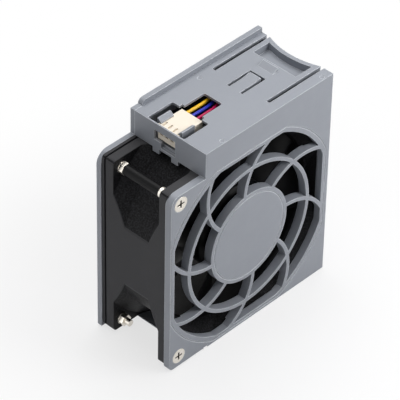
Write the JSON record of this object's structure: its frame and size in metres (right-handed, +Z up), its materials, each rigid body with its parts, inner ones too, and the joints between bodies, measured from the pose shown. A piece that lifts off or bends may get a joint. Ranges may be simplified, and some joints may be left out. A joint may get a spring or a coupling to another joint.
{
  "type": "server fan module",
  "caption": "Caged axial fan module with a swirled finger guard, top cable box with a left-facing plug, and a sprung release latch with a finger pocket.",
  "frame": {"origin": "middle of the overall footprint, on the surface the module stands on", "axes": "+Z up; +Y from the finger guard to the rear cover, along the fan's axis; +X from the plug side to the latch's grip"},
  "size_m": [0.0822, 0.037, 0.0939],
  "materials": {
    "cover_grey": "fine matt moulded",
    "fan_black": "satin moulded",
    "sleeve_black": "smooth",
    "bearing_steel": "ground",
    "yoke_steel": "drawn",
    "core_steel": "stamped laminations",
    "insulator_plastic": "moulded",
    "coil_copper": "enamelled wire",
    "board_green": "solder resist",
    "chip_black": "moulded",
    "bright_steel": "bright plated",
    "brass": "bright",
    "magnet_grey": "bonded ferrite",
    "plug_cream": "semi-gloss moulded",
    "wire_black": "smooth insulation",
    "wire_red": "smooth insulation",
    "wire_blue": "smooth insulation",
    "wire_yellow": "smooth insulation"
  },
  "bodies": {
    "housing": {"front_plate": "cover_grey", "front_guard": "cover_grey", "cable_box": "cover_grey", "side_panel": "cover_grey", "floor_panel": "cover_grey", "rear_cover": "cover_grey", "fan_frame": "fan_black", "motor_mount": "fan_black", "front_bearing": "bearing_steel", "rear_bearing": "bearing_steel", "stator_core": "core_steel", "insulator_front": "insulator_plastic", "insulator_rear": "insulator_plastic", "coil_0": "coil_copper", "coil_1": "coil_copper", "coil_2": "coil_copper", "coil_3": "coil_copper", "circuit_board": "board_green", "driver_chip": "chip_black", "hall_sensor": "chip_black", "front_screw_upper": "bright_steel", "rear_screw_upper": "bright_steel", "front_nut_upper": "bright_steel", "rear_nut_upper": "bright_steel", "rear_washer_upper": "bright_steel", "front_screw_lower": "bright_steel", "rear_screw_lower": "bright_steel", "front_nut_lower": "bright_steel", "rear_nut_lower": "bright_steel", "rear_washer_lower": "bright_steel", "corner_sleeve": "sleeve_black", "plug_cradle": "cover_grey", "plug_housing": "plug_cream", "contact_1": "brass", "contact_2": "brass", "contact_3": "brass", "contact_4": "brass", "wire_black": "wire_black", "wire_red": "wire_red", "wire_blue": "wire_blue", "wire_yellow": "wire_yellow"},
    "rotor": {"impeller": "fan_black", "rotor_yoke": "yoke_steel", "magnet_ring": "magnet_grey", "shaft_bush": "brass", "preload_spring": "bearing_steel", "rotor_shaft": "bearing_steel", "retaining_clip": "bearing_steel"},
    "latch": {"release_latch": "cover_grey"},
    "finger": {"snap_finger": "cover_grey"}
  },
  "joints": [
    {"name": "rotor_spin", "type": "hinge", "parent": "housing", "child": "rotor", "pos_m": [-0.00065, 0, 0.041], "axis": [0, 1, 0], "continuous": true},
    {"name": "latch_press", "type": "hinge", "parent": "housing", "child": "latch", "pos_m": [0.01245, 0, 0.0905], "axis": [0, 1, 0], "range_deg": [0, 4], "stiffness_Nm_per_rad": 1.1},
    {"name": "finger_flex", "type": "hinge", "parent": "housing", "child": "finger", "pos_m": [0.00935, 0, 0.0907], "axis": [0, 1, 0], "range_deg": [0, 4], "stiffness_Nm_per_rad": 0.45}
  ]
}
